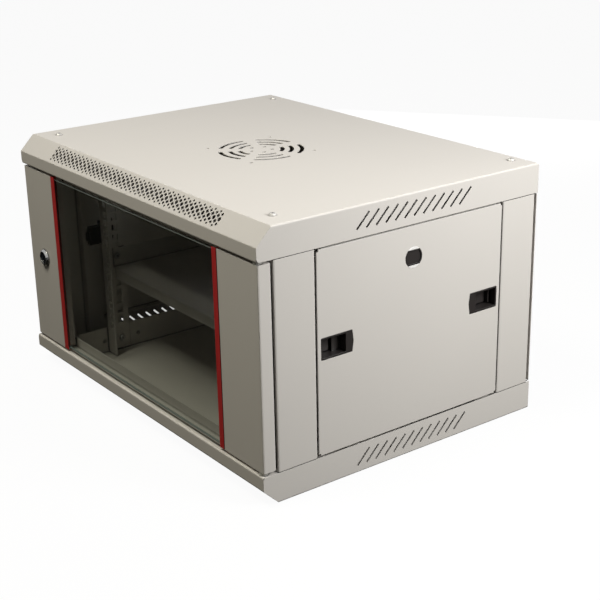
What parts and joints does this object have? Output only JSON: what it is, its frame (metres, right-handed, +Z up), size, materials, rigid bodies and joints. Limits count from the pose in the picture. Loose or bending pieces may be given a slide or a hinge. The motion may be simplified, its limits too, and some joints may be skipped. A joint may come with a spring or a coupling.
{
  "type": "wall mount network cabinet",
  "caption": "Sheet steel wall cabinet for 19 inch equipment, with a glass door, removable latched side panels, a shelf and a vented top.",
  "frame": {"origin": "on the resting plane under the middle of the cabinet's 600 x 450 mm footprint", "axes": "+X to the right seen from the door, +Y to the rear, +Z up; the door faces -Y"},
  "size_m": [0.6, 0.4525, 0.3527],
  "materials": {
    "grey_powder_coat": "light grey powder coat, satin, fine texture",
    "red_trim": "dark red, satin",
    "clear_glass": "clear toughened glass, slightly tinted",
    "black_plastic": "black moulded plastic, matt",
    "lock_chrome": "bright chrome plating",
    "lock_face": "dark lock face",
    "white_nylon": "natural nylon",
    "zinc_steel": "bright zinc plate"
  },
  "bodies": {
    "cabinet": {"bottom_corner_screws": "zinc_steel", "bottom_cover": "grey_powder_coat", "cage_nuts": "zinc_steel", "front_post_left": "grey_powder_coat", "front_post_right": "grey_powder_coat", "front_rail_left": "grey_powder_coat", "front_rail_right": "grey_powder_coat", "hinge_bush_lower": "white_nylon", "hinge_bush_upper": "white_nylon", "lower_bar_left": "grey_powder_coat", "lower_bar_right": "grey_powder_coat", "rail_nuts": "zinc_steel", "rail_screws": "zinc_steel", "rear_panel": "grey_powder_coat", "rear_panel_screws": "zinc_steel", "rear_post_left": "grey_powder_coat", "rear_post_right": "grey_powder_coat", "rear_rail_left": "grey_powder_coat", "rear_rail_right": "grey_powder_coat", "shelf": "grey_powder_coat", "shelf_screws": "zinc_steel", "top_corner_screws": "zinc_steel", "top_cover": "grey_powder_coat", "upper_bar_left": "grey_powder_coat", "upper_bar_right": "grey_powder_coat"},
    "door": {"door_glass": "clear_glass", "door_stile_left": "grey_powder_coat", "door_stile_right": "grey_powder_coat", "door_trim_left": "red_trim", "door_trim_right": "red_trim", "hinge_block_lower": "zinc_steel", "hinge_block_upper": "zinc_steel", "hinge_pin_lower": "zinc_steel", "hinge_spring": "zinc_steel", "lock_housing": "lock_chrome", "lock_ring_nut": "zinc_steel"},
    "lock": {"lock_barrel": "lock_face", "lock_cam": "zinc_steel", "lock_cam_screw": "zinc_steel"},
    "hinge_release": {"hinge_pin_upper": "zinc_steel"},
    "side_panel_left_body": {"latch_housing_left_front": "black_plastic", "latch_housing_left_rear": "black_plastic", "latch_springs_left": "zinc_steel", "lock_blank_left": "black_plastic", "side_panel_left": "grey_powder_coat"},
    "side_panel_right_body": {"latch_housing_right_front": "black_plastic", "latch_housing_right_rear": "black_plastic", "latch_springs_right": "zinc_steel", "lock_blank_right": "black_plastic", "side_panel_right": "grey_powder_coat"},
    "latch_left_front": {"latch_slider_left_front": "black_plastic"},
    "latch_left_rear": {"latch_slider_left_rear": "black_plastic"},
    "latch_right_front": {"latch_slider_right_front": "black_plastic"},
    "latch_right_rear": {"latch_slider_right_rear": "black_plastic"}
  },
  "joints": [
    {"name": "door_hinge", "type": "hinge", "parent": "cabinet", "child": "door", "pos_m": [0.291, -0.218, 0.175], "axis": [0, 0, 1], "range_deg": [0, 180]},
    {"name": "lock_turn", "type": "hinge", "parent": "door", "child": "lock", "pos_m": [-0.253, -0.223, 0.175], "axis": [0, -1, 0], "range_deg": [0, 90]},
    {"name": "hinge_pin_release", "type": "slide", "parent": "door", "child": "hinge_release", "axis": [0, 0, -1], "range_m": [0, 0.007], "stiffness_N_per_m": 400, "deforming": ["hinge_spring"]},
    {"name": "side_panel_left_lift_off", "type": "slide", "parent": "cabinet", "child": "side_panel_left_body", "axis": [-1, 0, 0], "range_m": [0, 0.12]},
    {"name": "latch_left_front_slide", "type": "slide", "parent": "side_panel_left_body", "child": "latch_left_front", "axis": [0, 1, 0], "range_m": [0, 0.008], "stiffness_N_per_m": 300},
    {"name": "latch_left_rear_slide", "type": "slide", "parent": "side_panel_left_body", "child": "latch_left_rear", "axis": [0, -1, 0], "range_m": [0, 0.008], "stiffness_N_per_m": 300},
    {"name": "side_panel_right_lift_off", "type": "slide", "parent": "cabinet", "child": "side_panel_right_body", "axis": [1, 0, 0], "range_m": [0, 0.12]},
    {"name": "latch_right_front_slide", "type": "slide", "parent": "side_panel_right_body", "child": "latch_right_front", "axis": [0, 1, 0], "range_m": [0, 0.008], "stiffness_N_per_m": 300},
    {"name": "latch_right_rear_slide", "type": "slide", "parent": "side_panel_right_body", "child": "latch_right_rear", "axis": [0, -1, 0], "range_m": [0, 0.008], "stiffness_N_per_m": 300}
  ]
}
